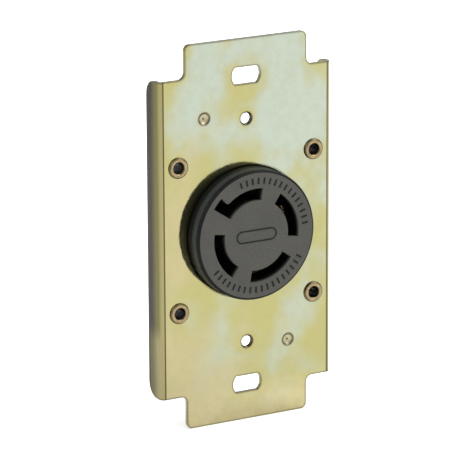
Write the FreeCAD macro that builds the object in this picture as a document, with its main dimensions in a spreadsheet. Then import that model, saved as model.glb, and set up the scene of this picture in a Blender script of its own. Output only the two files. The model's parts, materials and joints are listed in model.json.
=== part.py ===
import FreeCAD, Part
import itertools
import math
import os
from types import SimpleNamespace

import Sketcher

# A flush four-pole locking receptacle on a plated steel mounting plate.
# Millimetres. The origin is on the nose axis, on the plate's rear face: -Y is the front, +Z is up.

DIMENSIONS = {
    # mounting plate: a shallow channel with a tab at each end
    "sheet_thickness": 1.0,
    "plate_width": 51.2,
    "plate_height": 85.0,
    "plate_length": 103.0,
    "tab_width": 36.0,
    "flange_depth": 6.8,
    "bend_radius": 1.4,
    "flange_corner": 4.0,
    "tab_corner": 1.6,
    "notch_corner": 1.8,
    "nose_hole": 35.4,
    "box_slot_spacing": 83.3,
    "box_slot_length": 8.4,
    "box_slot_width": 4.5,
    "box_slot_end": 3.2,
    "cover_screw_spacing": 60.3,
    "cover_screw_hole": 2.9,
    "cover_screw_sink": 0.3,
    "pip_across": 12.4,
    "pip_up": 31.5,
    "pip_diameter": 3.3,
    "pip_depth": 0.55,
    "pip_root": 0.1,
    # tubular rivets that hold the front housing to the plate
    "rivet_across": 40.2,
    "rivet_up": 39.0,
    "rivet_hole": 4.2,
    "rivet_shank": 4.1,
    "rivet_head": 5.6,
    "rivet_head_height": 0.6,
    "rivet_roll": 0.5,
    "rivet_bore": 2.9,
    # front housing: round nose, square flange behind the plate, and a skirt behind the flange
    "nose_diameter": 34.8,
    "nose_height": 5.3,
    "nose_edge": 0.7,
    "face_thickness": 2.2,
    "front_flange_width": 46.8,
    "front_flange_height": 45.6,
    "front_flange_thickness": 5.0,
    "front_flange_corner": 3.0,
    "skirt_width": 34.4,
    "housing_height": 44.0,
    "housing_corner": 2.5,
    "split_depth": 9.0,
    "blade_slot_inner": 9.4,
    "blade_slot_outer": 12.6,
    "blade_slot_sweep": 64.0,
    "blade_slot_turn": 23.2,
    "earth_key_outer": 15.3,
    "earth_key_sweep": 13.0,
    "earth_key_turn": 138.9,
    "earth_key_corner": 0.8,
    "chamber_inner": 8.7,
    "chamber_outer": 15.6,
    "chamber_sweep": 76.0,
    # rear housing
    "rear_width": 33.0,
    "rear_depth": 20.6,
    "rear_wall": 2.2,
    "rear_edge": 1.0,
    "wire_hole": 3.4,
    "wire_hole_offset": 3.7,
    "wire_hole_out": 15.05,
    # contacts, all of one sheet brass
    "contact_thickness": 1.0,
    "contact_bend": 0.8,
    "near_seat_low": 1.8,
    "far_seat_low": 1.9,
    "far_seat_out": 14.2,
    "jaw_inner": 9.6,
    "jaw_thickness": 0.8,
    "jaw_turn": 15.0,
    "jaw_sweep": 18.0,
    "jaw_start": 0.6,
    "jaw_lead": 1.6,
    "jaw_flare": 0.45,
    "leaf_inner": 11.8,
    "leaf_thickness": 0.5,
    "leaf_sweep": 20.0,
    "leaf_root_gap": 0.1,
    "terminal_across": 8.6,
    "terminal_width": 10.8,
    "terminal_depth": 14.2,
    "terminal_end": 18.2,
    "terminal_outer": 18.0,
    "contact_gap": 0.2,
    # terminal screws and clamp plates
    "screw_diameter": 4.0,
    "screw_head": 7.4,
    "screw_head_height": 2.4,
    "screw_end": 10.7,
    "screw_seat_gap": 0.05,
    "chamber_start": 10.0,
    "screw_slot": 1.1,
    "screw_recess": 8.4,
    "terminal_hole": 4.3,
    "clamp_thickness": 1.6,
    "clamp_outer": 13.1,
    "clamp_width": 10.4,
    "clamp_length": 6.8,
    "clamp_hole": 4.1,
    # assembly screws
    "assembly_up": 5.0,
    "assembly_diameter": 3.0,
    "assembly_hole": 3.2,
    "assembly_tapped_hole": 3.1,
    "assembly_head": 5.6,
    "assembly_head_height": 2.0,
    "assembly_counterbore": 6.2,
    "assembly_end": 2.6,
    "assembly_sink": 0.4,
    # earth strap
    "strap_thickness": 0.6,
    "strap_fold": 0.5,
    "strap_corner": 1.2,
    "strap_left": 13.6,
    "strap_right": 9.6,
    "strap_leg": 17.0,
    "strap_foot": 10.4,
    "strap_tab_left": 22.8,
    "strap_tab_top": 22.2,
    "strap_rivet_across": 11.6,
    "strap_rivet_up": 12.9,
    "strap_rivet_shank": 2.0,
    "strap_rivet_head": 3.0,
    "strap_rivet_height": 0.5,
}

QUARTER_TURN = 90.0
FULL_TURN = 360.0
OVERSHOOT = 0.5
NEAR = 1e-4
SAME_PLACE = 1e-3

doc = FreeCAD.newDocument("LockingReceptacle")


class Size:
    """A size with its present value and the sheet expression that gives it."""

    def __init__(self, value, text=None):
        self.value = float(value)
        self.text = text or repr(float(value))

    def join(self, sign, other, result):
        return Size(result, f"({self.text} {sign} {other.text})")

    def __add__(self, other):
        other = as_size(other)
        return self.join("+", other, self.value + other.value)

    def __sub__(self, other):
        other = as_size(other)
        return self.join("-", other, self.value - other.value)

    def __mul__(self, other):
        other = as_size(other)
        return self.join("*", other, self.value * other.value)

    def __truediv__(self, other):
        other = as_size(other)
        return self.join("/", other, self.value / other.value)

    def __neg__(self):
        return Size(-self.value, f"(0 - {self.text})")


def as_size(thing):
    return thing if isinstance(thing, Size) else Size(thing)


def driving_sheet():
    """Puts each dimension in a cell of its own and returns them by name."""
    sheet = doc.addObject("Spreadsheet::Sheet", "Dims")
    sizes = SimpleNamespace()
    for row, (name, value) in enumerate(DIMENSIONS.items(), start=1):
        sheet.set(f"A{row}", name)
        sheet.set(f"B{row}", str(value))
        sheet.setAlias(f"B{row}", name)
        setattr(sizes, name, Size(value, f"Dims.{name}"))
    doc.recompute()
    return sizes


dim = driving_sheet()
FACE = -(dim.sheet_thickness + dim.nose_height)
CHAMBER_FLOOR = FACE + dim.face_thickness
TERMINAL_INNER = dim.terminal_outer - dim.contact_thickness
TERMINAL_LOW = dim.terminal_across - dim.terminal_width / 2
TERMINAL_HIGH = dim.terminal_across + dim.terminal_width / 2
SEAT_INNER = dim.chamber_inner + dim.contact_gap
# the two patterns of contact seat, each as its lowest and highest x and z before it is placed
NEAR_SEAT = (SEAT_INNER, dim.terminal_outer, -dim.near_seat_low, TERMINAL_HIGH)
FAR_SEAT = (-dim.far_seat_low, dim.terminal_outer, -dim.far_seat_out, -SEAT_INNER)


# ---- helpers for bodies, sketches and features ----


def bind(thing, path, size):
    thing.setExpression(path, as_size(size).text)


def new_body(label):
    body = doc.addObject("PartDesign::Body", label)
    body.Label = label
    return body


def new_sketch(body, role, level=0.0, turn=None):
    """A sketch on one of the body's origin planes, moved along its normal or turned about the nose axis."""
    sketch = body.newObject("Sketcher::SketchObject", "Sketch")
    plane = next(f for f in body.Origin.OriginFeatures if f.Role == role)
    sketch.AttachmentSupport = [(plane, "")]
    sketch.MapMode = "FlatFace"
    bind(sketch, "AttachmentOffset.Base.z", level)
    if turn is not None:
        sketch.AttachmentOffset = FreeCAD.Placement(
            FreeCAD.Vector(0, 0, 0), FreeCAD.Rotation(FreeCAD.Vector(0, 1, 0), -turn.value)
        )
        bind(sketch, "AttachmentOffset.Rotation.Angle", -turn)
    return sketch


def depth_sketch(body, depth):
    """A sketch across the nose axis, at a depth along +Y. Its x is X and its y is Z."""
    return new_sketch(body, "XZ_Plane", -as_size(depth))


def hold(sketch, geometry, point, x, y):
    """Holds a point of a sketch at a distance from each of the sketch's axes."""
    for kind, axis, size in (("DistanceX", -2, as_size(x)), ("DistanceY", -1, as_size(y))):
        if abs(size.value) < NEAR:
            sketch.addConstraint(Sketcher.Constraint("PointOnObject", geometry, point, axis))
            continue
        index = sketch.addConstraint(Sketcher.Constraint(kind, -1, 1, geometry, point, size.value))
        sketch.setExpression(f"Constraints[{index}]", size.text)


def outline(sketch, points):
    """A closed outline of straight lines through the points."""
    points = [(as_size(x), as_size(y)) for x, y in points]
    first = sketch.GeometryCount
    for index, (x, y) in enumerate(points):
        next_x, next_y = points[(index + 1) % len(points)]
        start = FreeCAD.Vector(x.value, y.value, 0)
        end = FreeCAD.Vector(next_x.value, next_y.value, 0)
        sketch.addGeometry(Part.LineSegment(start, end), False)
    for index, (x, y) in enumerate(points):
        following = first + (index + 1) % len(points)
        sketch.addConstraint(Sketcher.Constraint("Coincident", first + index, 2, following, 1))
        hold(sketch, first + index, 1, x, y)
    return sketch


def rectangle(sketch, x_low, x_high, y_low, y_high):
    return outline(sketch, [(x_low, y_low), (x_high, y_low), (x_high, y_high), (x_low, y_high)])


def circle(sketch, x, y, diameter):
    x, y, radius = as_size(x), as_size(y), as_size(diameter) / 2
    centre = FreeCAD.Vector(x.value, y.value, 0)
    geometry = sketch.addGeometry(Part.Circle(centre, FreeCAD.Vector(0, 0, 1), radius.value), False)
    hold(sketch, geometry, 3, x, y)
    index = sketch.addConstraint(Sketcher.Constraint("Radius", geometry, radius.value))
    sketch.setExpression(f"Constraints[{index}]", radius.text)
    return sketch


def round_ended_slot(sketch, y, length, width, end_radius):
    """A slot along x with flat sides, whose ends are shallow arcs."""
    half_width = as_size(width) / 2
    reach = math.sqrt(end_radius.value**2 - half_width.value**2)
    corner = Size(
        length.value / 2 - end_radius.value + reach,
        f"({length.text} / 2 - {end_radius.text} + sqrt({end_radius.text}^2 - {half_width.text}^2))",
    )
    low, high = as_size(y) - half_width, as_size(y) + half_width
    corners = [(-corner, low), (corner, low), (corner, high), (-corner, high)]
    bottom = sketch.addGeometry(segment(corners[0], corners[1]), False)
    right = sketch.addGeometry(bulge(corners[1], corners[2], length / 2, y), False)
    top = sketch.addGeometry(segment(corners[2], corners[3]), False)
    left = sketch.addGeometry(bulge(corners[3], corners[0], -(length / 2), y), False)
    for line, arc in ((bottom, right), (top, left)):
        sketch.addConstraint(Sketcher.Constraint("Coincident", line, 2, arc, 1))
    for arc, line in ((right, top), (left, bottom)):
        sketch.addConstraint(Sketcher.Constraint("Coincident", arc, 2, line, 1))
    for line, end, corner_point in (
        (bottom, 1, corners[0]),
        (bottom, 2, corners[1]),
        (top, 1, corners[2]),
        (top, 2, corners[3]),
    ):
        hold(sketch, line, end, *corner_point)
    for arc in (right, left):
        index = sketch.addConstraint(Sketcher.Constraint("Radius", arc, end_radius.value))
        sketch.setExpression(f"Constraints[{index}]", end_radius.text)
    return sketch


def segment(start, end):
    return Part.LineSegment(
        FreeCAD.Vector(start[0].value, start[1].value, 0), FreeCAD.Vector(end[0].value, end[1].value, 0)
    )


def bulge(start, end, tip_x, tip_y):
    return Part.Arc(
        FreeCAD.Vector(start[0].value, start[1].value, 0),
        FreeCAD.Vector(as_size(tip_x).value, as_size(tip_y).value, 0),
        FreeCAD.Vector(end[0].value, end[1].value, 0),
    )


def pad(body, sketch, length, backward=True):
    """Adds material from the sketch towards +Y, or towards the sketch's own normal if not backward."""
    feature = body.newObject("PartDesign::Pad", "Pad")
    feature.Profile = sketch
    feature.Reversed = backward
    bind(feature, "Length", length)
    doc.recompute()
    return feature


def pocket(body, sketch, length, forward=False):
    """Cuts from the sketch towards +Y, or towards its own normal if forward, and checks that it cut."""
    before = body.Shape.Volume
    feature = body.newObject("PartDesign::Pocket", "Pocket")
    feature.Profile = sketch
    feature.Reversed = forward
    bind(feature, "Length", length)
    doc.recompute()
    if body.Shape.Volume > before - NEAR:
        raise RuntimeError(f"{body.Label}: a pocket cut nothing")
    return feature


def revolve(body, kind, sketch, sweep):
    """Turns a sketch about its own vertical axis, half of the sweep each way, and checks that a groove cut."""
    before = body.Shape.Volume if body.Tip else 0.0
    feature = body.newObject(f"PartDesign::{kind}", kind)
    feature.Profile = sketch
    feature.ReferenceAxis = (sketch, ["V_Axis"])
    feature.Midplane = True
    bind(feature, "Angle", sweep)
    doc.recompute()
    if kind == "Groove" and body.Shape.Volume > before - NEAR:
        raise RuntimeError(f"{body.Label}: a groove cut nothing")
    return feature


def sector(body, kind, points, turn, sweep):
    """Turns a profile of radius and depth through a sweep about the nose axis, centred on a turn."""
    return revolve(body, kind, outline(new_sketch(body, "XY_Plane", turn=turn), points), sweep)


def dish(body, kind, x, z, radius, depth, rim, root):
    """A shallow dish round a line along Y at x and z: cut or raised from its rim's depth towards +Y."""
    sketch = new_sketch(body, "XY_Plane", z)
    bind(sketch, "AttachmentOffset.Base.x", x)
    ball = Size(
        (radius.value**2 + depth.value**2) / (2 * depth.value),
        f"(({radius.text}^2 + {depth.text}^2) / (2 * {depth.text}))",
    )
    rim, root, centre = as_size(rim), as_size(root), as_size(0)
    half_way = math.sqrt(ball.value**2 - radius.value**2 / 4) - ball.value
    corners = [(centre, rim + depth), (centre, rim - root), (radius, rim - root), (radius, rim)]
    for start, end in zip(corners, corners[1:]):
        sketch.addGeometry(segment(start, end), False)
    arc = sketch.addGeometry(bulge(corners[3], corners[0], radius / 2, rim + depth + half_way), False)
    for line in (0, 1):
        sketch.addConstraint(Sketcher.Constraint("Coincident", line, 2, line + 1, 1))
    sketch.addConstraint(Sketcher.Constraint("Coincident", 2, 2, arc, 1))
    sketch.addConstraint(Sketcher.Constraint("Coincident", arc, 2, 0, 1))
    for line in (0, 1, 2):
        hold(sketch, line, 1, *corners[line])
    hold(sketch, arc, 1, *corners[3])
    index = sketch.addConstraint(Sketcher.Constraint("Radius", arc, ball.value))
    sketch.setExpression(f"Constraints[{index}]", ball.text)
    return revolve(body, kind, sketch, FULL_TURN)


def box_profile(radius_low, radius_high, depth_low, depth_high):
    return [
        (radius_low, depth_low),
        (radius_high, depth_low),
        (radius_high, depth_high),
        (radius_low, depth_high),
    ]


def four_times(body, feature):
    pattern = body.newObject("PartDesign::PolarPattern", "Pattern")
    pattern.Originals = [feature]
    axis = next(f for f in body.Origin.OriginFeatures if f.Role == "Y_Axis")
    pattern.Axis = (axis, [""])
    pattern.Angle = FULL_TURN
    pattern.Occurrences = 4
    body.Tip = pattern
    doc.recompute()


def edges_where(shape, test):
    return [f"Edge{index}" for index, edge in enumerate(shape.Edges, start=1) if test(edge)]


def along(edge, direction):
    """True for a straight edge that runs along a direction."""
    if not isinstance(edge.Curve, Part.Line):
        return False
    return abs(abs(edge.Curve.Direction.dot(direction)) - 1) < NEAR


def middle(edge):
    return edge.valueAt((edge.FirstParameter + edge.LastParameter) / 2)


def is_at(value, size):
    """True if a coordinate lies at a size."""
    return abs(value - as_size(size).value) < SAME_PLACE


def dress(body, kind, test, size):
    """Rounds or chamfers the edges of the body's present shape that pass a test."""
    base = body.Tip
    names = edges_where(base.Shape, test)
    if not names:
        raise RuntimeError(f"{body.Label}: no edge to {kind}")
    feature = body.newObject(f"PartDesign::{kind}", kind)
    feature.Base = (base, names)
    bind(feature, "Radius" if kind == "Fillet" else "Size", size)
    doc.recompute()
    return feature


X = FreeCAD.Vector(1, 0, 0)
Y = FreeCAD.Vector(0, 1, 0)
Z = FreeCAD.Vector(0, 0, 1)


def ring_at(edge, radius, depth):
    """True for a circular edge of a radius about a line along Y, at a depth."""
    if not isinstance(edge.Curve, Part.Circle):
        return False
    return is_at(edge.Curve.Radius, radius) and is_at(edge.Curve.Center.y, depth)


# ---- mounting plate ----


def mounting_plate():
    body = new_body("mounting_plate")
    half_width, half_height = dim.plate_width / 2, dim.plate_height / 2
    thickness = dim.sheet_thickness
    rear = dim.flange_depth - thickness

    channel = rectangle(depth_sketch(body, -thickness), -half_width, half_width, -half_height, half_height)
    pad(body, channel, dim.flange_depth)
    inner = half_width - thickness
    past_end = half_height + OVERSHOOT
    inside = rectangle(depth_sketch(body, 0), -inner, inner, -past_end, past_end)
    pocket(body, inside, dim.flange_depth)

    def outer_bend(edge):
        point = middle(edge)
        return along(edge, Z) and is_at(abs(point.x), half_width) and is_at(point.y, -thickness)

    def inner_bend(edge):
        point = middle(edge)
        return along(edge, Z) and is_at(abs(point.x), inner) and is_at(point.y, 0)

    def flange_end(edge):
        point = middle(edge)
        return along(edge, X) and is_at(point.y, rear) and is_at(abs(point.z), half_height)

    dress(body, "Fillet", outer_bend, dim.bend_radius)
    dress(body, "Fillet", inner_bend, dim.bend_radius - thickness)
    dress(body, "Fillet", flange_end, dim.flange_corner)

    half_tab, half_length = dim.tab_width / 2, dim.plate_length / 2
    tabs = rectangle(depth_sketch(body, -thickness), -half_tab, half_tab, -half_length, half_length)
    pad(body, tabs, thickness)

    def tab_end(edge):
        point = middle(edge)
        return along(edge, Y) and is_at(abs(point.x), half_tab) and is_at(abs(point.z), half_length)

    def notch(edge):
        point = middle(edge)
        return along(edge, Y) and is_at(abs(point.x), half_tab) and is_at(abs(point.z), half_height)

    dress(body, "Fillet", tab_end, dim.tab_corner)
    dress(body, "Fillet", notch, dim.notch_corner)

    holes = circle(depth_sketch(body, -thickness), 0, 0, dim.nose_hole)
    for side in (-1, 1):
        circle(holes, 0, dim.cover_screw_spacing / 2 * side, dim.cover_screw_hole)
        slot_up = dim.box_slot_spacing / 2 * side
        round_ended_slot(holes, slot_up, dim.box_slot_length, dim.box_slot_width, dim.box_slot_end)
        for up in (-1, 1):
            circle(holes, dim.rivet_across / 2 * side, dim.rivet_up / 2 * up, dim.rivet_hole)
    pocket(body, holes, thickness)

    def cover_screw_rim(edge):
        return ring_at(edge, dim.cover_screw_hole / 2, -thickness)

    dress(body, "Chamfer", cover_screw_rim, dim.cover_screw_sink)

    for side in (-1, 1):
        across, up = -(dim.pip_across * side), dim.pip_up * side
        dish(body, "Groove", across, up, dim.pip_diameter / 2, dim.pip_depth, -thickness, dim.pip_root)
        dish(body, "Revolution", across, up, dim.pip_diameter / 2, dim.pip_depth, 0, dim.pip_root)


# ---- corner rivets ----


def corner_rivet(label, side, up):
    """A tubular rivet: flat head on the plate's front, rolled end on the rear of the housing's flange."""
    body = new_body(label)
    x, z = dim.rivet_across / 2 * side, dim.rivet_up / 2 * up
    head_front = -(dim.sheet_thickness + dim.rivet_head_height)
    pad(body, circle(depth_sketch(body, head_front), x, z, dim.rivet_head), dim.rivet_head_height)
    grip = dim.sheet_thickness + dim.front_flange_thickness
    pad(body, circle(depth_sketch(body, -dim.sheet_thickness), x, z, dim.rivet_shank), grip)
    rolled = circle(depth_sketch(body, dim.front_flange_thickness), x, z, dim.rivet_head)
    pad(body, rolled, dim.rivet_head_height)
    bore = circle(depth_sketch(body, head_front), x, z, dim.rivet_bore)
    pocket(body, bore, grip + dim.rivet_head_height * 2)
    rear_face = dim.front_flange_thickness + dim.rivet_head_height

    def rolled_edge(edge):
        return ring_at(edge, dim.rivet_head / 2, head_front) or ring_at(edge, dim.rivet_head / 2, rear_face)

    def mouth(edge):
        return ring_at(edge, dim.rivet_bore / 2, head_front) or ring_at(edge, dim.rivet_bore / 2, rear_face)

    dress(body, "Fillet", rolled_edge, dim.rivet_roll)
    dress(body, "Fillet", mouth, dim.rivet_roll)


# ---- housings ----


def front_housing():
    body = new_body("front_housing")
    nose = circle(depth_sketch(body, FACE), 0, 0, dim.nose_diameter)
    pad(body, nose, -FACE + dim.front_flange_thickness)
    half_width, half_height = dim.front_flange_width / 2, dim.front_flange_height / 2
    flange = rectangle(depth_sketch(body, 0), -half_width, half_width, -half_height, half_height)
    pad(body, flange, dim.front_flange_thickness)
    half_skirt, half_housing = dim.skirt_width / 2, dim.housing_height / 2
    skirt = rectangle(depth_sketch(body, 0), -half_skirt, half_skirt, -half_housing, half_housing)
    pad(body, skirt, dim.split_depth)

    def nose_edge(edge):
        return ring_at(edge, dim.nose_diameter / 2, FACE)

    def flange_corner(edge):
        point = middle(edge)
        return along(edge, Y) and is_at(abs(point.x), half_width) and is_at(abs(point.z), half_height)

    def skirt_corner(edge):
        point = middle(edge)
        return along(edge, Y) and is_at(abs(point.x), half_skirt) and is_at(abs(point.z), half_housing)

    dress(body, "Fillet", nose_edge, dim.nose_edge)
    dress(body, "Fillet", flange_corner, dim.front_flange_corner)
    dress(body, "Fillet", skirt_corner, dim.housing_corner)

    slot = box_profile(dim.blade_slot_inner, dim.blade_slot_outer, FACE - OVERSHOOT, CHAMBER_FLOOR + OVERSHOOT)
    four_times(body, sector(body, "Groove", slot, dim.blade_slot_turn, dim.blade_slot_sweep))
    chamber = box_profile(dim.chamber_inner, dim.chamber_outer, CHAMBER_FLOOR, dim.split_depth + OVERSHOOT)
    four_times(body, sector(body, "Groove", chamber, dim.blade_slot_turn, dim.chamber_sweep))
    key = box_profile(
        dim.blade_slot_outer - OVERSHOOT, dim.earth_key_outer, FACE - OVERSHOOT, CHAMBER_FLOOR + OVERSHOOT
    )
    sector(body, "Groove", key, dim.earth_key_turn, dim.earth_key_sweep)

    def key_corner(edge):
        if not along(edge, Y):
            return False
        point = middle(edge)
        angle = math.degrees(math.atan2(point.z, point.x))
        low = dim.earth_key_turn.value - dim.earth_key_sweep.value / 2
        at_radius = is_at(math.hypot(point.x, point.z), dim.blade_slot_outer)
        return at_radius and is_at(angle, low) and point.y < CHAMBER_FLOOR.value

    dress(body, "Fillet", key_corner, dim.earth_key_corner)

    holes = depth_sketch(body, -OVERSHOOT)
    for side in (-1, 1):
        for up in (-1, 1):
            circle(holes, dim.rivet_across / 2 * side, dim.rivet_up / 2 * up, dim.rivet_hole)
    pocket(body, holes, dim.front_flange_thickness + 2 * OVERSHOOT)

    tapped = depth_sketch(body, dim.assembly_end - OVERSHOOT)
    for up in (-1, 1):
        circle(tapped, 0, dim.assembly_up * up, dim.assembly_tapped_hole)
    pocket(body, tapped, dim.split_depth)
    strap_room(body)


def strap_room(body):
    """The shallow seat, slot and rear recess that the earth strap lies in."""
    gap = dim.contact_gap / 2
    left, right = -dim.strap_left - gap, -dim.strap_right + gap
    seat = rectangle(
        depth_sketch(body, 0),
        -(dim.front_flange_width / 2 + OVERSHOOT),
        right,
        dim.strap_leg - gap,
        dim.strap_tab_top + gap,
    )
    pocket(body, seat, dim.strap_thickness)
    leg_top = dim.strap_leg + dim.strap_thickness + gap
    leg = rectangle(depth_sketch(body, 0), left, right, dim.strap_leg - gap, leg_top)
    pocket(body, leg, dim.split_depth)
    recess_depth = dim.strap_thickness + dim.strap_rivet_height + gap
    foot = rectangle(
        depth_sketch(body, dim.split_depth - recess_depth), left, right, dim.strap_foot - gap, leg_top
    )
    pocket(body, foot, recess_depth + OVERSHOOT)


def rear_housing():
    body = new_body("rear_housing")
    half_width, half_height = dim.rear_width / 2, dim.housing_height / 2
    block = rectangle(
        depth_sketch(body, dim.split_depth), -half_width, half_width, -half_height, half_height
    )
    pad(body, block, dim.rear_depth - dim.split_depth)

    def corner(edge):
        return along(edge, Y)

    def rear_rim(edge):
        return isinstance(edge.Curve, Part.Line) and is_at(middle(edge).y, dim.rear_depth)

    dress(body, "Fillet", corner, dim.housing_corner)
    dress(body, "Chamfer", rear_rim, dim.rear_edge)
    contact_room(body)

    wires = depth_sketch(body, dim.rear_depth - dim.rear_wall - OVERSHOOT)
    for side, up, offset in itertools.product((1, -1), repeat=3):
        across = dim.terminal_across * side + dim.wire_hole_offset * offset
        circle(wires, across, dim.wire_hole_out * up, dim.wire_hole)
    pocket(body, wires, dim.rear_wall + 2 * OVERSHOOT)

    for up in (1, -1):
        access = new_sketch(body, "XY_Plane", (dim.terminal_outer - OVERSHOOT) * up)
        for side in (1, -1):
            circle(access, dim.terminal_across * side, dim.terminal_depth, dim.screw_recess)
        pocket(body, access, half_height - dim.terminal_outer + 2 * OVERSHOOT, forward=up > 0)

    through = depth_sketch(body, dim.split_depth - OVERSHOOT)
    counterbores = depth_sketch(body, dim.rear_depth - dim.assembly_head_height - dim.assembly_sink)
    for up in (1, -1):
        circle(through, 0, dim.assembly_up * up, dim.assembly_hole)
        circle(counterbores, 0, dim.assembly_up * up, dim.assembly_counterbore)
    pocket(body, through, dim.rear_depth)
    pocket(body, counterbores, dim.rear_depth)


def contact_room(body):
    """Shallow seats for the four contacts, and a deep chamber behind each for its terminal."""
    room = dim.contact_gap
    wall = dim.terminal_outer + room
    chamber_depth = dim.rear_depth - dim.rear_wall - dim.split_depth
    near = (dim.chamber_inner, wall, -dim.near_seat_low - room, TERMINAL_HIGH + room)
    far = (-dim.far_seat_low - room, wall, -dim.far_seat_out - room, -dim.chamber_inner)
    near_chamber = (dim.chamber_start, wall, TERMINAL_LOW - room, TERMINAL_HIGH + room)
    far_chamber = (dim.chamber_start, wall, -TERMINAL_HIGH - room, -TERMINAL_LOW + room)
    for side in (1, -1):
        for seat in (near, far):
            sketch = rectangle(depth_sketch(body, dim.split_depth), *turned(side, *seat))
            pocket(body, sketch, dim.contact_thickness)
        for chamber in (near_chamber, far_chamber):
            sketch = rectangle(depth_sketch(body, dim.split_depth), *turned(side, *chamber))
            pocket(body, sketch, chamber_depth)


def turned(side, x_low, x_high, z_low, z_high):
    """Where a rectangle drawn for a terminal on +X comes after place() turns it up or down."""
    if side > 0:
        return -z_high, -z_low, x_low, x_high
    return z_low, z_high, -x_high, -x_low


# ---- contacts ----


# Each contact and terminal is drawn with its terminal on +X, then turned a quarter up or down.


def place(body, side):
    body.Placement = FreeCAD.Placement(FreeCAD.Vector(0, 0, 0), FreeCAD.Rotation(Y, -QUARTER_TURN * side))


def jaw_turn(far):
    return dim.jaw_turn - QUARTER_TURN if far else dim.jaw_turn


def contact(label, side, far):
    """A brass stamping: seat, terminal pad bent to the rear, and the fixed jaw that a blade turns against."""
    body = new_body(label)
    up = -1 if far else 1
    seat = rectangle(depth_sketch(body, dim.split_depth), *(FAR_SEAT if far else NEAR_SEAT))
    pad(body, seat, dim.contact_thickness)
    low, high = sorted((TERMINAL_LOW * up, TERMINAL_HIGH * up), key=lambda size: size.value)
    terminal = rectangle(depth_sketch(body, dim.split_depth), TERMINAL_INNER, dim.terminal_outer, low, high)
    pad(body, terminal, dim.terminal_end - dim.split_depth)

    def bend(edge):
        point = middle(edge)
        return along(edge, Z) and is_at(point.x, dim.terminal_outer) and is_at(point.y, dim.split_depth)

    def pad_end(edge):
        point = middle(edge)
        return along(edge, X) and is_at(point.y, dim.terminal_end)

    dress(body, "Fillet", bend, dim.contact_bend)
    dress(body, "Fillet", pad_end, dim.contact_thickness)
    hole = new_sketch(body, "YZ_Plane", TERMINAL_INNER - OVERSHOOT)
    circle(hole, dim.terminal_depth, dim.terminal_across * up, dim.terminal_hole)
    pocket(body, hole, dim.contact_thickness + 2 * OVERSHOOT, forward=True)
    if label == "earth_contact":
        rivet_hole = depth_sketch(body, dim.split_depth - OVERSHOOT)
        circle(rivet_hole, dim.strap_rivet_up, dim.strap_rivet_across, dim.strap_rivet_shank)
        pocket(body, rivet_hole, dim.contact_thickness + 2 * OVERSHOOT)

    outer = dim.jaw_inner + dim.jaw_thickness
    lead_end = dim.jaw_start + dim.jaw_lead
    profile = [
        (dim.jaw_inner, dim.split_depth + OVERSHOOT),
        (outer, dim.split_depth + OVERSHOOT),
        (outer, lead_end),
        (outer - dim.jaw_flare, dim.jaw_start),
        (dim.jaw_inner, dim.jaw_start),
    ]
    sector(body, "Revolution", profile, jaw_turn(far), dim.jaw_sweep)
    place(body, side)


def contact_leaf(label, side, far):
    """The springy outer jaw that closes on the blade. Its root stands just off the contact's seat."""
    body = new_body(label)
    inner, outer = dim.leaf_inner, dim.leaf_inner + dim.leaf_thickness
    root = dim.split_depth - dim.leaf_root_gap
    lead_end = dim.jaw_start + dim.jaw_lead
    profile = [
        (inner, root),
        (outer, root),
        (outer, lead_end),
        (outer + dim.jaw_flare, dim.jaw_start),
        (inner + dim.jaw_flare, dim.jaw_start),
        (inner, lead_end),
    ]
    sector(body, "Revolution", profile, jaw_turn(far), dim.leaf_sweep)
    place(body, side)


# ---- terminals ----


def terminal_screw(label, side, up):
    """A slotted terminal screw that lies along X with its head outside the contact's pad."""
    body = new_body(label)
    z = dim.terminal_across * up
    seat = dim.terminal_outer + dim.screw_seat_gap
    shank = circle(new_sketch(body, "YZ_Plane", dim.screw_end), dim.terminal_depth, z, dim.screw_diameter)
    pad(body, shank, seat - dim.screw_end, backward=False)
    head = circle(new_sketch(body, "YZ_Plane", seat), dim.terminal_depth, z, dim.screw_head)
    pad(body, head, dim.screw_head_height, backward=False)
    top = seat + dim.screw_head_height

    def head_rim(edge):
        return isinstance(edge.Curve, Part.Circle) and is_at(middle(edge).x, top)

    def tip(edge):
        return isinstance(edge.Curve, Part.Circle) and is_at(middle(edge).x, dim.screw_end)

    dress(body, "Fillet", head_rim, dim.screw_slot / 2)
    dress(body, "Chamfer", tip, dim.screw_slot / 2)
    reach = dim.screw_head / 2 + OVERSHOOT
    half_slot = dim.screw_slot / 2
    slot = new_sketch(body, "YZ_Plane", top)
    rectangle(slot, dim.terminal_depth - reach, dim.terminal_depth + reach, z - half_slot, z + half_slot)
    pocket(body, slot, dim.screw_slot)
    place(body, side)


def wire_clamp(label, side, up):
    """The plate that the screw draws outwards to grip the wires against the contact's pad."""
    body = new_body(label)
    z = dim.terminal_across * up
    half_length, half_width = dim.clamp_length / 2, dim.clamp_width / 2
    plate = new_sketch(body, "YZ_Plane", dim.clamp_outer - dim.clamp_thickness)
    rectangle(
        plate, dim.terminal_depth - half_length, dim.terminal_depth + half_length, z - half_width, z + half_width
    )
    pad(body, plate, dim.clamp_thickness, backward=False)

    def corner(edge):
        return along(edge, X)

    dress(body, "Fillet", corner, dim.clamp_thickness / 2)
    hole = new_sketch(body, "YZ_Plane", dim.clamp_outer - dim.clamp_thickness - OVERSHOOT)
    circle(hole, dim.terminal_depth, z, dim.clamp_hole)
    pocket(body, hole, dim.clamp_thickness + 2 * OVERSHOOT, forward=True)
    place(body, side)


# ---- earth strap and assembly screws ----


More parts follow.
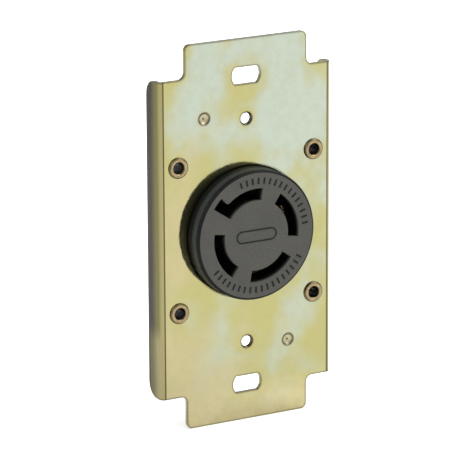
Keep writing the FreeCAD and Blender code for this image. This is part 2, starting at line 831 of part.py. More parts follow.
def earth_strap():
    """A folded strip from the plate's rear face, through the front housing, to the earth contact."""
    body = new_body("earth_strap")
    thickness = dim.strap_thickness
    leg_top = dim.strap_leg + thickness
    fold = outline(
        new_sketch(body, "YZ_Plane", -dim.strap_left),
        [
            (0, dim.strap_leg),
            (dim.split_depth - thickness, dim.strap_leg),
            (dim.split_depth - thickness, dim.strap_foot),
            (dim.split_depth, dim.strap_foot),
            (dim.split_depth, leg_top),
            (0, leg_top),
        ],
    )
    pad(body, fold, dim.strap_left - dim.strap_right, backward=False)
    tab = rectangle(
        depth_sketch(body, 0), -dim.strap_tab_left, -dim.strap_right, dim.strap_leg, dim.strap_tab_top
    )
    pad(body, tab, thickness)

    def outer_fold(edge):
        point = middle(edge)
        return along(edge, X) and is_at(point.y, dim.split_depth) and is_at(point.z, leg_top)

    def tab_corner(edge):
        point = middle(edge)
        return along(edge, Y) and is_at(point.x, -dim.strap_tab_left)

    dress(body, "Fillet", outer_fold, dim.strap_fold)
    dress(body, "Fillet", tab_corner, dim.strap_corner)
    holes = circle(depth_sketch(body, -OVERSHOOT), -(dim.rivet_across / 2), dim.rivet_up / 2, dim.rivet_hole)
    pocket(body, holes, thickness + 2 * OVERSHOOT)
    foot_hole = depth_sketch(body, dim.split_depth - thickness - OVERSHOOT)
    circle(foot_hole, -dim.strap_rivet_across, dim.strap_rivet_up, dim.strap_rivet_shank)
    pocket(body, foot_hole, thickness + 2 * OVERSHOOT)


def strap_rivet():
    """The small solid rivet that joins the strap's foot to the earth contact."""
    body = new_body("strap_rivet")
    x, z = -dim.strap_rivet_across, dim.strap_rivet_up
    height = dim.strap_rivet_height
    foot_front = dim.split_depth - dim.strap_thickness
    tail_front = dim.split_depth + dim.contact_thickness
    pad(body, circle(depth_sketch(body, foot_front - height), x, z, dim.strap_rivet_head), height)
    pad(body, circle(depth_sketch(body, foot_front), x, z, dim.strap_rivet_shank), tail_front - foot_front)
    pad(body, circle(depth_sketch(body, tail_front), x, z, dim.strap_rivet_head), height)


def assembly_screw(label, up):
    """A slotted screw from the rear that draws the two housings together."""
    body = new_body(label)
    z = dim.assembly_up * up
    head_seat = dim.rear_depth - dim.assembly_head_height - dim.assembly_sink
    shank = circle(depth_sketch(body, dim.assembly_end), 0, z, dim.assembly_diameter)
    pad(body, shank, head_seat - dim.assembly_end)
    head = circle(depth_sketch(body, head_seat), 0, z, dim.assembly_head)
    pad(body, head, dim.assembly_head_height)
    top = head_seat + dim.assembly_head_height

    def head_rim(edge):
        return ring_at(edge, dim.assembly_head / 2, top)

    dress(body, "Fillet", head_rim, dim.screw_slot / 2)
    reach, half_slot = dim.assembly_head / 2 + OVERSHOOT, dim.screw_slot / 2
    slot_floor = top - dim.screw_slot
    slot = rectangle(depth_sketch(body, slot_floor), -reach, reach, z - half_slot, z + half_slot)
    pocket(body, slot, dim.screw_slot + OVERSHOOT)


# ---- the whole receptacle ----

# each pole: its name, +1 with its terminal at the top or -1 at the bottom, and its pattern of contact
POLES = (
    ("upper_left", 1, False),
    ("upper_right", 1, True),
    ("lower_right", -1, False),
    ("lower_left", -1, True),
)
EARTH_POLE = "upper_left"


def build():
    mounting_plate()
    for across_name, side in (("left", -1), ("right", 1)):
        for up_name, up in (("upper", 1), ("lower", -1)):
            corner_rivet(f"corner_rivet_{up_name}_{across_name}", side, up)
    front_housing()
    rear_housing()
    for pole, side, far in POLES:
        up = -1 if far else 1
        is_earth = pole == EARTH_POLE
        contact("earth_contact" if is_earth else f"line_contact_{pole}", side, far)
        contact_leaf("earth_leaf" if is_earth else f"line_leaf_{pole}", side, far)
        terminal_screw(f"terminal_screw_{pole}", side, up)
        wire_clamp(f"wire_clamp_{pole}", side, up)
    earth_strap()
    strap_rivet()
    assembly_screw("assembly_screw_upper", 1)
    assembly_screw("assembly_screw_lower", -1)


def check_and_write():
    doc.recompute()
    failed = [thing.Name for thing in doc.Objects if {"Invalid", "Error"} & set(thing.State)]
    if failed:
        raise RuntimeError(f"failed objects: {failed}")
    os.makedirs("parts", exist_ok=True)
    for body in doc.findObjects("PartDesign::Body"):
        shape = body.Shape
        if shape.isNull() or not shape.isValid() or len(shape.Solids) != 1:
            raise RuntimeError(f"{body.Label}: not one valid solid")
        shape.exportStep(f"parts/{body.Label}.step")
        print(f"{body.Label}: {shape.Volume:.1f} mm3")


build()
check_and_write()
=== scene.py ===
import json
import math

import bmesh
import bpy
from mathutils import Matrix, Vector


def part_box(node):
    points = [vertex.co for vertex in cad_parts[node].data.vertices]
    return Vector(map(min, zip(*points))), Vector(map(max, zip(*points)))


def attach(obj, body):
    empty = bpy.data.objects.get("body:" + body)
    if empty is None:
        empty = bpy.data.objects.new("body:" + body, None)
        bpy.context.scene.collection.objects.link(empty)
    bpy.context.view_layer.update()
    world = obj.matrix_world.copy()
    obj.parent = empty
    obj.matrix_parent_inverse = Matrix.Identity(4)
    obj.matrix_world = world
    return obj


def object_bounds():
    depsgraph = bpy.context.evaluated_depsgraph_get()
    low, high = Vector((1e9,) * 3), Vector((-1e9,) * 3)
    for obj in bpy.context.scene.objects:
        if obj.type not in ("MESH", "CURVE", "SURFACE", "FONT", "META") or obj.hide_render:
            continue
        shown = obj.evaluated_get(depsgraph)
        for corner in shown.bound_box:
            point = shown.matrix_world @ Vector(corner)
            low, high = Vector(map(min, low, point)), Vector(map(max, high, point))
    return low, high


# A flush four-pole locking receptacle on a zinc-plated steel mounting plate.
# Lengths are in metres. -Y is the front and +Z is up.
# The origin is on the nose's axis, on the plate's rear face.

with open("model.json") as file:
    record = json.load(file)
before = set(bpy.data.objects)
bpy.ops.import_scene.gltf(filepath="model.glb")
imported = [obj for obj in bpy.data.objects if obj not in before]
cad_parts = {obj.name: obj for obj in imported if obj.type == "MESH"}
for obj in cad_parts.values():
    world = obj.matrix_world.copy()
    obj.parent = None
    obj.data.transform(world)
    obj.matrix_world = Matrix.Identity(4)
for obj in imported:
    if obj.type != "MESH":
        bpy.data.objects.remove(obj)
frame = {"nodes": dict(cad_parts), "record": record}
cad_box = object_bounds()

MM = 0.001
MAIN_BODY = "receptacle"
BEVEL_SAMPLES = 6

# The camera's place and lens
AIM = Vector((-3.78, 1.11, 0.24)) * MM
AZIMUTH = math.radians(-29.17)
ELEVATION = math.radians(15.62)
ROLL = math.radians(-0.27)
DISTANCE = 0.919
LENS = 275.93
SENSOR = 36.0

# Places where the finishes and the painted shade change
BEND_LINE = 24.32 * MM
PIP_ACROSS = 12.4 * MM
PIP_UP = 31.5 * MM
COVER_SCREW_UP = 30.15 * MM
BOX_SLOT_UP = 41.65 * MM
RIVET_ACROSS = 20.1 * MM
RIVET_UP = 19.5 * MM
NOSE_FLAT = 16.7 * MM
CHAMFER_MIDDLE = 1.62 * MM
PIP_RIM = 1.55 * MM

# The marks on the nose's face, which start a little inside it
FACE_SINK = 0.05 * MM
MARK_RADIUS = 14.6 * MM
MARK_LENGTH = 1.7 * MM
MARK_WIDTH = 0.5 * MM
MARK_HEIGHT = 0.1 * MM
MARK_BEVEL = 0.04 * MM
MARK_PITCH = math.radians(6.6)
UPPER_ARC = (math.radians(6), math.radians(108))
LOWER_ARC = (math.radians(215), math.radians(330))
BADGE_LENGTH = 12.0 * MM
BADGE_HEIGHT = 3.4 * MM
BADGE_LINE = 0.36 * MM

# The moulded marks on the rear housing
REAR_SINK = 0.15 * MM
RIM_RADIUS = 2.2 * MM
RIM_WIDTH = 0.6 * MM
RIM_HEIGHT = 0.3 * MM
PIN_ACROSS = 10.5 * MM
PIN_UP = 5.0 * MM
PIN_RADIUS = 1.6 * MM
PIN_WIDTH = 0.25 * MM
PIN_HEIGHT = 0.08 * MM
POLE_ACROSS = 8.6 * MM
POLE_DOTS_UP = 10.4 * MM
DOT_RADIUS = 0.45 * MM
DOT_WIDTH = 0.4455 * MM
DOT_HEIGHT = 0.25 * MM
DOT_PITCH = 1.5 * MM


# Finishes


class Finish:
    """A Principled material, with short calls for the nodes that pattern it."""

    def __init__(self, name, **values):
        self.material = bpy.data.materials.new(name)
        self.material.use_nodes = True
        self.tree = self.material.node_tree
        self.shader = self.tree.nodes["Principled BSDF"]
        place = self.tree.nodes.new("ShaderNodeTexCoord")
        self.place = place.outputs["Object"]
        self.facing = place.outputs["Normal"]
        for socket, value in values.items():
            self.shader.inputs[socket.replace("_", " ")].default_value = value

    def node(self, kind, settings=(), **inputs):
        """A node of that kind, with its settings and its inputs set or linked by name."""
        made = self.tree.nodes.new("ShaderNode" + kind)
        for key, value in dict(settings).items():
            setattr(made, key, value)
        for key, value in inputs.items():
            self.feed(made.inputs[key.replace("_", " ")], value)
        return made

    def feed(self, socket, value):
        """Links a socket to another node's output, or sets its own value."""
        if isinstance(value, bpy.types.NodeSocket):
            self.tree.links.new(value, socket)
        elif socket.type == "RGBA":
            socket.default_value = (*value, 1.0)
        else:
            socket.default_value = value

    def drive(self, **inputs):
        """Feeds the shader's own sockets."""
        for key, value in inputs.items():
            self.feed(self.shader.inputs[key.replace("_", " ")], value)

    def noise(self, size, detail=3.0, roughness=0.5, stretch=(1, 1, 1), shift=(0, 0, 0)):
        """Cloudy noise from about 0.3 to 0.7, whose patches are about size across."""
        spot = self.node("Mapping", Vector=self.place, Scale=stretch, Location=shift)
        cloud = self.node(
            "TexNoise", Vector=spot.outputs["Vector"], Scale=1 / size, Detail=detail, Roughness=roughness
        )
        return cloud.outputs["Fac"]

    def along(self, axis):
        """The place along one axis, in metres."""
        return self.node("SeparateXYZ", Vector=self.place).outputs[axis]

    def facing_along(self, axis):
        """How far the surface faces one way, from -1 to 1."""
        return self.node("SeparateXYZ", Vector=self.facing).outputs[axis]

    def length(self, x, z):
        """The length of a line that is x across and z up."""
        line = self.node("CombineXYZ", X=x, Z=z).outputs["Vector"]
        return self.node("VectorMath", {"operation": "LENGTH"}, Vector=line).outputs["Value"]

    def from_axis(self, across, up):
        """How far the place is from the nearest of the lines along Y at plus and minus across and up."""
        x = self.calc("SUBTRACT", self.size_of(self.along("X")), across)
        z = self.calc("SUBTRACT", self.size_of(self.along("Z")), up)
        return self.length(x, z)

    def from_pip(self):
        """How far the place is from the nearer pip: one is at the upper left and one at the lower right."""
        half = self.calc("SIGN", self.along("Z"))
        x = self.calc("ADD", self.times(self.along("X"), half), PIP_ACROSS)
        z = self.calc("SUBTRACT", self.size_of(self.along("Z")), PIP_UP)
        return self.length(x, z)

    def span(self, value, low, high, start=0.0, end=1.0):
        """Value between low and high, brought to between start and end, with soft ends."""
        made = self.node("MapRange", {"interpolation_type": "SMOOTHSTEP"}, Value=value)
        for key, number in zip(("From Min", "From Max", "To Min", "To Max"), (low, high, start, end)):
            made.inputs[key].default_value = number
        return made.outputs["Result"]

    def calc(self, operation, first, second=0.0):
        made = self.node("Math", {"operation": operation})
        self.feed(made.inputs[0], first)
        self.feed(made.inputs[1], second)
        return made.outputs["Value"]

    def times(self, first, second):
        return self.calc("MULTIPLY", first, second)

    def size_of(self, value):
        return self.calc("ABSOLUTE", value)

    def line(self, value, place, gone, solid, strength=1.0):
        """A line where value is at a place: solid within one distance of it, and gone beyond the other."""
        apart = self.size_of(self.calc("SUBTRACT", value, place))
        return self.span(apart, gone, solid, 0.0, strength)

    def mix(self, share, first, second):
        """First where share is 0 and second where it is 1."""
        return self.node("MixRGB", Fac=share, Color1=first, Color2=second).outputs["Color"]

    def softened(self, radius):
        """The surface's direction, with its edges rounded to that radius."""
        return self.node("Bevel", {"samples": BEVEL_SAMPLES}, Radius=radius).outputs["Normal"]

    def edges(self, radius, flat=0.995, sharp=0.86):
        """Near 1 on corners sharper than that radius, and 0 on flats."""
        both = self.node("VectorMath", {"operation": "DOT_PRODUCT"})
        self.feed(both.inputs[0], self.softened(radius))
        self.feed(both.inputs[1], self.node("NewGeometry").outputs["True Normal"])
        return self.span(both.outputs["Value"], flat, sharp)

    def relief(self, height, depth, edge_radius):
        """Small bumps of that depth, on edges softened to that radius."""
        made = self.node("Bump", Height=height, Distance=depth, Normal=self.softened(edge_radius))
        self.drive(Normal=made.outputs["Normal"])


def plating_tint(look, across, height):
    """Yellow near edges, holes and the nose, pale green over much of the top, and pinker lower down, with
    painted light that brightens the bottom.
    """
    yellow, green, pink = (0.322, 0.302, 0.126), (0.328, 0.366, 0.305), (0.362, 0.318, 0.178)
    painted_light_tan, olive = (0.520, 0.450, 0.270), (0.26, 0.25, 0.14)
    up = look.along("Z")
    rise = look.span(up, -35 * MM, 45 * MM, -0.05, 0.07)
    right = look.span(look.along("X"), -10 * MM, 20 * MM, -0.03, 0.11)
    tab = look.span(height, 40 * MM, 44 * MM)
    cool = look.calc("ADD", look.noise(20 * MM, 3.0, 0.55, (1, 1, 0.8)), look.calc("ADD", rise, right))
    for pull in (
        look.span(across, 11 * MM, 23 * MM, 0.03, -0.09),
        look.times(tab, look.span(across, 12 * MM, 18 * MM, 0.0, -0.10)),
        look.span(height, 46 * MM, 51.5 * MM, 0.0, -0.07),
        look.span(look.from_axis(0.0, BOX_SLOT_UP), 8.5 * MM, 4.5 * MM, 0.0, -0.09),
        look.span(look.from_axis(0.0, 0.0), 29 * MM, 21 * MM, 0.0, -0.13),
        look.span(look.from_axis(0.0, COVER_SCREW_UP), 4 * MM, 2 * MM, 0.0, -0.09),
    ):
        cool = look.calc("ADD", cool, pull)
    warm = look.calc("SUBTRACT", look.noise(18 * MM, 3.0, 0.5, (1, 1, 0.7), (0.3, 0.1, 0.2)), rise)
    warm = look.calc("SUBTRACT", warm, look.times(right, 2.0))
    greenness = look.times(look.span(cool, 0.38, 0.62), look.span(up, -22 * MM, 12 * MM, 0.75, 1.0))
    colour = look.mix(greenness, yellow, green)
    colour = look.mix(look.span(warm, 0.48, 0.74, 0.0, 0.85), colour, pink)
    # Painted light: brighter and browner along the bottom, standing in for the floor reflection that dims
    # near the foot.
    colour = look.mix(look.span(up, -38 * MM, -50 * MM, 0.0, 0.6), colour, painted_light_tan)
    mottle = look.noise(2.2 * MM, 4.0, 0.65)
    return look.mix(look.span(mottle, 0.35, 0.70, 0.0, 0.20), colour, olive)


def fold_painted_shading(look, across, depth):
    """The folded edges, with painted light: a painted highlight inside and at the bend, and painted shade,
    browner towards the rear outside.
    """
    # pale is the painted highlight; olive, brown, edge and the foot colours are painted shade.
    pale, olive = (0.262, 0.233, 0.110), (0.100, 0.090, 0.022)
    brown, edge = (0.012, 0.007, 0.000), (0.016, 0.011, 0.004)
    pale_foot, olive_foot = (0.262, 0.230, 0.112), (0.088, 0.078, 0.020)
    outside = look.span(across, 24.9 * MM, 25.3 * MM)
    colour = look.mix(look.times(look.span(depth, -0.9 * MM, 0.6 * MM), outside), pale, olive)
    colour = look.mix(look.times(look.span(depth, 0.2 * MM, 4.2 * MM), outside), colour, brown)
    foot = look.mix(look.times(look.span(depth, -0.9 * MM, 4.2 * MM), outside), pale_foot, olive_foot)
    colour = look.mix(look.span(look.along("Z"), -22 * MM, -28 * MM, 0.0, 0.9), colour, foot)
    return look.mix(look.times(look.span(depth, 4.4 * MM, 5.4 * MM), outside), colour, edge)


def painted_shade_lines(look, across, from_pip):
    """Painted shade along the bends, on the cover-screw holes' chamfers, and round and at the middle of the
    pips.
    """
    share = look.line(across, BEND_LINE, 0.28 * MM, 0.10 * MM, 0.90)
    for other in (
        look.line(look.from_axis(0.0, COVER_SCREW_UP), CHAMFER_MIDDLE, 0.30 * MM, 0.15 * MM, 0.85),
        look.line(from_pip, PIP_RIM, 0.45 * MM, 0.15 * MM, 0.70),
        look.span(from_pip, 0.45 * MM, 0.25 * MM, 0.0, 0.70),
    ):
        share = look.calc("MAXIMUM", share, other)
    return share


def zinc_plate():
    """Bright zinc with a yellow passivate and brown on its cut edges, duller in its pips, with a painted
    reflection tint in the pips and painted shade and highlight at the bends and folds.
    """
    look = Finish("zinc_plate", Metallic=1.0)
    brown, painted_light_tan, painted_shade = (0.060, 0.046, 0.024), (0.40, 0.33, 0.20), (0.040, 0.032, 0.018)
    across = look.size_of(look.along("X"))
    from_pip = look.from_pip()
    colour = plating_tint(look, across, look.size_of(look.along("Z")))
    # Past the bend line the fold's painted highlight and painted shade take over.
    folded = look.span(across, BEND_LINE, BEND_LINE + 0.12 * MM)
    colour = look.mix(folded, colour, fold_painted_shading(look, across, look.along("Y")))
    not_flat = look.span(look.size_of(look.facing_along("Y")), 0.5, 0.2)
    cut = look.times(not_flat, look.span(look.size_of(look.facing_along("X")), 0.9, 0.7))
    colour = look.mix(look.times(cut, 0.8), colour, brown)
    colour = look.mix(look.times(look.edges(0.9 * MM, 0.997, 0.95), 0.8), colour, brown)
    # Painted reflection: a browner tint in the pips stands for the plate mirrored in them.
    colour = look.mix(look.span(from_pip, 1.9 * MM, 1.6 * MM, 0.0, 0.6), colour, painted_light_tan)
    # Painted shade lines at the bends, chamfers and pips.
    colour = look.mix(painted_shade_lines(look, across, from_pip), colour, painted_shade)
    polish = look.span(look.noise(6 * MM, 4.0), 0.3, 0.7, 0.07, 0.14)
    rough = look.calc("MAXIMUM", polish, look.span(from_pip, 1.9 * MM, 1.5 * MM, 0.0, 0.38))
    look.drive(Base_Color=colour, Roughness=rough)
    look.relief(look.noise(3.5 * MM, 3.0, 0.55), 0.04 * MM, 0.10 * MM)
    return look.material


def rivet_brass():
    """Tan brass rolled over, with painted shade: brown round its rim and near black down its hollow."""
    look = Finish("rivet_brass", Metallic=1.0)
    tint = look.mix(look.span(look.noise(1.6 * MM), 0.35, 0.7), (0.30, 0.235, 0.130), (0.22, 0.165, 0.085))
    from_axis = look.from_axis(RIVET_ACROSS, RIVET_UP)
    # Painted shade: brown round the rolled rim.
    rim = look.span(from_axis, 2.20 * MM, 2.60 * MM, 0.0, 0.85)
    tint = look.mix(rim, tint, (0.080, 0.058, 0.030))
    # Painted shade: near black down the hollow.
    painted_bore_shade = look.span(from_axis, 1.80 * MM, 1.45 * MM)
    tint = look.mix(painted_bore_shade, tint, (0.020, 0.018, 0.016))
    look.drive(Base_Color=tint, Roughness=look.span(look.noise(0.7 * MM), 0.3, 0.7, 0.24, 0.40))
    look.relief(look.noise(0.6 * MM, 3.0), 0.03 * MM, 0.10 * MM)
    return look.material


def moulded_tint(look):
    """Black phenolic as it comes from the mould, with faint flow marks."""
    flow = look.noise(7 * MM, 4.0, 0.6, (1, 1, 0.4))
    return look.mix(look.span(flow, 0.3, 0.7), (0.009, 0.009, 0.010), (0.018, 0.018, 0.018))


def nose_wall_tint_and_painted_light(look, from_axis, depth, speckle):
    """Black in front of the plate, which deep in the slots is painted shade, with a grey stripe of painted
    reflection round the nose near its face; as moulded behind it.
    """
    black, grey = (0.0030, 0.0038, 0.0040), (0.034, 0.040, 0.040)
    # Painted reflection: a grey stripe round the outer wall, a little behind the face.
    painted_reflection_band = look.times(look.span(depth, -2.9 * MM, -3.6 * MM), look.span(depth, -5.6 * MM, -5.1 * MM))
    painted_reflection_band = look.times(painted_reflection_band, look.span(from_axis, NOSE_FLAT + 0.4 * MM, NOSE_FLAT + 0.6 * MM))
    painted_reflection_band = look.times(painted_reflection_band, look.span(speckle, 0.30, 0.65, 0.35, 1.0))
    return look.mix(look.span(depth, -0.9 * MM, -0.2 * MM), look.mix(painted_reflection_band, black, grey), moulded_tint(look))


def phenolic_front():
    """Black phenolic, satin grey and speckled on the nose's face and just inside its slots; deeper in the
    slots it is near black, which is painted shade.
    """
    look = Finish("phenolic_front", Metallic=0.0, IOR=1.56, Specular_IOR_Level=0.10)
    from_axis = look.from_axis(0.0, 0.0)
    depth = look.along("Y")
    speckle = look.noise(0.35 * MM, 2.0, 0.6)
    within = look.span(from_axis, NOSE_FLAT + 0.10 * MM, NOSE_FLAT - 0.02 * MM)
    # The satin grey stops about a millimetre into the slots, so their deeper walls take the near black as
    # painted shade.
    satin = look.times(within, look.span(depth, -5 * MM, -6 * MM))
    grey = look.mix(look.span(speckle, 0.3, 0.7), (0.049, 0.049, 0.043), (0.072, 0.070, 0.062))
    grey = look.mix(look.span(look.noise(8 * MM), 0.35, 0.7, 0.0, 0.3), grey, (0.041, 0.041, 0.038))
    colour = look.mix(satin, nose_wall_tint_and_painted_light(look, from_axis, depth, speckle), grey)
    look.drive(Base_Color=colour, Roughness=look.span(satin, 0.0, 1.0, 0.50, 0.60))
    look.relief(look.times(speckle, satin), 0.03 * MM, 0.10 * MM)
    return look.material


def phenolic_rear():
    """Black phenolic as moulded, with pale specks and worn edges."""
    look = Finish("phenolic_rear", Metallic=0.0, IOR=1.56, Specular_IOR_Level=0.25)
    speck = look.noise(0.4 * MM, 2.0, 0.6)
    colour = look.mix(look.span(speck, 0.62, 0.74, 0.0, 0.35), moulded_tint(look), (0.045, 0.043, 0.040))
    colour = look.mix(look.times(look.edges(0.4 * MM), 0.7), colour, (0.060, 0.059, 0.055))
    look.drive(Base_Color=colour, Roughness=look.span(look.noise(2 * MM), 0.3, 0.7, 0.34, 0.50))
    look.relief(look.noise(0.8 * MM, 3.0), 0.03 * MM, 0.18 * MM)
    return look.material


def mark_paint():
    """The face's marks: polished strokes, nearly black."""
    look = Finish("mark_paint", Metallic=0.0, Specular_IOR_Level=0.1)
    tone = look.mix(look.span(look.noise(0.6 * MM), 0.3, 0.7), (0.006, 0.006, 0.006), (0.014, 0.014, 0.013))
    look.drive(Base_Color=tone, Roughness=look.span(look.noise(0.3 * MM), 0.3, 0.7, 0.30, 0.50))
    return look.material


def rolled_metal(name, bright, dull, grain, smoothest, roughest):
    """Strip or turned metal with a fine grain along one axis and duller patches."""
    look = Finish(name, Metallic=1.0)
    patch = look.span(look.noise(4 * MM, 4.0, 0.6), 0.35, 0.70)
    streak = look.noise(0.5 * MM, 3.0, 0.6, grain)
    colour = look.mix(patch, bright, dull)
    colour = look.mix(look.span(streak, 0.3, 0.7, 0.0, 0.25), colour, dull)
    look.drive(Base_Color=colour, Roughness=look.span(streak, 0.3, 0.7, smoothest, roughest))
    look.relief(streak, 0.02 * MM, 0.12 * MM)
    return look.material


def all_finishes():
    """Every finish by its material slot's name, and the marks' own."""
    brass = ((0.78, 0.55, 0.24), (0.55, 0.36, 0.15))
    bronze = ((0.74, 0.48, 0.26), (0.50, 0.31, 0.17))
    zinc = ((0.72, 0.72, 0.70), (0.50, 0.50, 0.49))
    nickel = ((0.66, 0.63, 0.57), (0.45, 0.43, 0.40))
    gilt = ((0.70, 0.62, 0.34), (0.50, 0.44, 0.26))
    return {
        "mark_paint": mark_paint(),
        "zinc_plate": zinc_plate(),
        "rivet_brass": rivet_brass(),
        "phenolic_front": phenolic_front(),
        "phenolic_rear": phenolic_rear(),
        "contact_brass": rolled_metal("contact_brass", *brass, (1, 1, 0.15), 0.22, 0.38),
        "leaf_bronze": rolled_metal("leaf_bronze", *bronze, (1, 0.15, 1), 0.20, 0.34),
        "terminal_screw_steel": rolled_metal("terminal_screw_steel", *nickel, (1, 1, 1), 0.20, 0.36),
        "clamp_steel": rolled_metal("clamp_steel", *zinc, (0.15, 1, 1), 0.24, 0.40),
        "assembly_screw_steel": rolled_metal("assembly_screw_steel", *gilt, (1, 1, 1), 0.22, 0.36),
    }


def finish_nodes(finishes):
    """Gives each CAD node the finish of its material slot."""
    for part in frame["record"]["subparts"]:
        node = frame["nodes"][part["node"]]
        for holder in node.material_slots:
            holder.material = finishes[part["material_slot"]]


# Pieces


def piece(name, mesh, material, body=MAIN_BODY):
    """A new piece that rides on a body and takes its finish from a slot."""
    made = bpy.data.objects.new(name, mesh)
    bpy.context.scene.collection.objects.link(made)
    made.data.materials.append(material)
    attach(made, body)
    return made


def face_level():
    """How far forward the nose's face stands."""
    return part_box("front_housing")[0].y


def raised_outline(mesh, rings, level, height):
    """Raises closed outlines, each a list of (x, z) points, from a level on the face."""
    for ring in rings:
        base = [mesh.verts.new((x, level + FACE_SINK, z)) for x, z in ring]
        cap = [mesh.verts.new((x, level - height, z)) for x, z in ring]
        mesh.faces.new(cap)
        mesh.faces.new(list(reversed(base)))
        for i in range(len(ring)):
            j = (i + 1) % len(ring)
            mesh.faces.new((base[i], base[j], cap[j], cap[i]))


def stroke(angle, radius, length, width):
    """The outline of one straight stroke that points at the nose's axis."""
    outward = Vector((math.cos(angle), math.sin(angle)))
    across = Vector((-outward.y, outward.x))
    corners = ((-1, -1), (1, -1), (1, 1), (-1, 1))
    return [outward * (radius + length / 2 * r) + across * (width / 2 * s) for r, s in corners]


def bevelled(mesh, width):
    """Softens every edge of a new mesh a little."""
    bmesh.ops.recalc_face_normals(mesh, faces=mesh.faces)
    bmesh.ops.bevel(mesh, geom=mesh.edges[:], offset=width, segments=2, affect="EDGES", profile=0.6)


def finished_mesh(name, mesh):
    """The new mesh's data, with its faces turned outward."""
    bmesh.ops.recalc_face_normals(mesh, faces=mesh.faces)
    data = bpy.data.meshes.new(name)
    mesh.to_mesh(data)
    mesh.free()
    return data


def arc_of_strokes(name, start, end, finishes):
    """Evenly spaced plain strokes along an arc of the face."""
    mesh = bmesh.new()
    count = round((end - start) / MARK_PITCH) + 1
    angles = [start + (end - start) * i / (count - 1) for i in range(count)]
    rings = [stroke(angle, MARK_RADIUS, MARK_LENGTH, MARK_WIDTH) for angle in angles]
    raised_outline(mesh, rings, face_level(), MARK_HEIGHT)
    bevelled(mesh, MARK_BEVEL)
    return piece(name, finished_mesh(name, mesh), finishes["mark_paint"])


def lozenge(length, height, steps=12):
    """The outline of a bar with round ends."""
    radius = height / 2
    ring = []
    for side in (1, -1):
        for i in range(steps + 1):
            angle = math.pi * (i / steps - 0.5)
            x = (length / 2 - radius + radius * math.cos(angle)) * side
            ring.append((x, radius * math.sin(angle) * side))
    return ring


def face_badge(finishes):
    """A plain outlined bar with round ends at the middle of the face."""
    mesh = bmesh.new()
    level = face_level()
    outer = lozenge(BADGE_LENGTH, BADGE_HEIGHT)
    inner = lozenge(BADGE_LENGTH - 2 * BADGE_LINE, BADGE_HEIGHT - 2 * BADGE_LINE)
    base, top = level + FACE_SINK, level - MARK_HEIGHT
    rows = []
    for ring, y in ((outer, base), (outer, top), (inner, top), (inner, base)):
        rows.append([mesh.verts.new((x, y, z)) for x, z in ring])
    for row, following in zip(rows, rows[1:] + rows[:1]):
        for i in range(len(row)):
            j = (i + 1) % len(row)
            mesh.faces.new((row[i], row[j], following[j], following[i]))
    return piece("face_badge", finished_mesh("face_badge", mesh), finishes["mark_paint"])


def turn_ring(mesh, centre, profile, steps=32):
    """Turns a closed outline of (radius, y) points about the line along Y through a centre (x, z)."""
    rows = []
    for i in range(steps):
        angle = 2 * math.pi * i / steps
        across, up = math.cos(angle), math.sin(angle)
        rows.append([mesh.verts.new((centre[0] + r * across, y, centre[1] + r * up)) for r, y in profile])
    for i, row in enumerate(rows):
        following = rows[(i + 1) % steps]
        for j in range(len(profile)):
            k = (j + 1) % len(profile)
            mesh.faces.new((row[j], row[k], following[k], following[j]))


def domed(radius, width, level, height, steps=6):
    """The outline of a low half-round rim, whose foot is a little below the rear face's level."""
    sunk = level - REAR_SINK
    outline = [(radius - width / 2, sunk), (radius + width / 2, sunk)]
    for i in range(steps + 1):
        angle = math.pi * i / steps
        outline.append((radius + width / 2 * math.cos(angle), level + height * math.sin(angle)))
    return outline


def wire_entries():
    """The centre (x, z) of each wire entry, from the record's bores."""
    bores = [m for m in frame["record"]["mounts"] if m["name"].startswith("wire_entry")]
    return [(m["pos_m"][0], m["pos_m"][2]) for m in bores]


def entry_rims(finishes):
    """A moulded rim round each wire entry in the rear housing."""
    mesh = bmesh.new()
    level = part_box("rear_housing")[1].y
    for centre in wire_entries():
        turn_ring(mesh, centre, domed(RIM_RADIUS, RIM_WIDTH, level, RIM_HEIGHT))
    data = finished_mesh("entry_rims", mesh)
    return piece("entry_rims", data, finishes["phenolic_rear"])


def mould_marks(finishes):
    """Four ejector-pin rings, and from one to four raised dots that tell the poles apart."""
    mesh = bmesh.new()
    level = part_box("rear_housing")[1].y
    for side in (1, -1):
        for up in (1, -1):
            centre = (PIN_ACROSS * side, PIN_UP * up)
            turn_ring(mesh, centre, domed(PIN_RADIUS, PIN_WIDTH, level, PIN_HEIGHT))
    for count, (side, up) in enumerate(((1, 1), (1, -1), (-1, -1), (-1, 1)), start=1):
        for i in range(count):
            x = (POLE_ACROSS + DOT_PITCH * (i - (count - 1) / 2)) * side
            dot = domed(DOT_RADIUS / 2, DOT_WIDTH, level, DOT_HEIGHT)
            turn_ring(mesh, (x, POLE_DOTS_UP * up), dot, 16)
    data = finished_mesh("mould_marks", mesh)
    return piece("mould_marks", data, finishes["phenolic_rear"])


# Studio


def make_floor():
    """A plain pale floor under the plate's lower tab."""
    half = 3.0
    level = cad_box[0][2]
    data = bpy.data.meshes.new("floor")
    corners = [(-half, -half, level), (half, -half, level), (half, half, level), (-half, half, level)]
    data.from_pydata(corners, [], [(0, 1, 2, 3)])
    floor = bpy.data.objects.new("floor", data)
    bpy.context.scene.collection.objects.link(floor)
    look = Finish("floor_paper", Roughness=0.9)
    shade = look.noise(0.4, 2.0)
    look.drive(Base_Color=look.mix(look.span(shade, 0.3, 0.7), (0.90, 0.90, 0.90), (0.92, 0.92, 0.92)))
    data.materials.append(look.material)


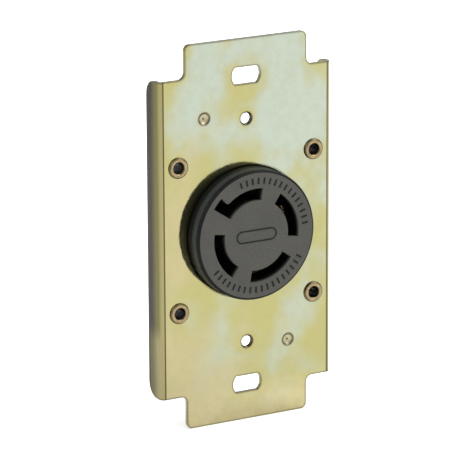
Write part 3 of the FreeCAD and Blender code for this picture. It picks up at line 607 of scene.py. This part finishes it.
def softbox(name, place, target, size, power):
    """A square soft light that points at a target."""
    light = bpy.data.lights.new(name, "AREA")
    light.shape = "RECTANGLE"
    light.size, light.size_y = size
    light.energy = power
    lamp = bpy.data.objects.new(name, light)
    bpy.context.scene.collection.objects.link(lamp)
    lamp.location = place
    lamp.rotation_euler = (Vector(target) - Vector(place)).to_track_quat("-Z", "Y").to_euler()


def make_lights():
    """A wide soft key from the upper right, a second box for the floor behind, and a pale room."""
    softbox("key_softbox", (0.50, -0.45, 0.60), (0.12, -0.12, -0.05), (0.6, 0.6), 6.0)
    softbox("backdrop_softbox", (0.50, 0.40, 0.50), (0.14, 0.26, -0.05), (0.6, 0.6), 5.0)
    softbox("fill_softbox", (-0.50, 0.00, 0.45), (-0.05, 0.00, -0.05), (0.5, 0.5), 2.5)
    world = bpy.data.worlds.new("studio")
    world.use_nodes = True
    world.node_tree.nodes["Background"].inputs["Color"].default_value = (1.0, 1.0, 1.0, 1.0)
    world.node_tree.nodes["Background"].inputs["Strength"].default_value = 0.90
    bpy.context.scene.world = world
    bpy.context.scene.view_settings.view_transform = "Standard"


def make_camera():
    """The camera looks down at the plate from the left, through a long lens."""
    tilt = Matrix.Rotation(ROLL, 3, "Y") @ Matrix.Rotation(ELEVATION, 3, "X")
    turn = tilt @ Matrix.Rotation(-AZIMUTH, 3, "Z")
    right, forward, up = (Vector(row) for row in turn)
    data = bpy.data.cameras.new("camera")
    data.lens = LENS
    data.sensor_width = SENSOR
    data.clip_start = 0.01
    camera = bpy.data.objects.new("camera", data)
    bpy.context.scene.collection.objects.link(camera)
    camera.matrix_world = Matrix.LocRotScale(AIM - forward * DISTANCE, None, None) @ Matrix(
        (right, up, -forward)
    ).transposed().to_4x4()
    bpy.context.scene.camera = camera


make_camera()
finishes = all_finishes()
finish_nodes(finishes)
arc_of_strokes("face_marks_upper", *UPPER_ARC, finishes)
arc_of_strokes("face_marks_lower", *LOWER_ARC, finishes)
face_badge(finishes)
entry_rims(finishes)
mould_marks(finishes)
make_floor()
make_lights()
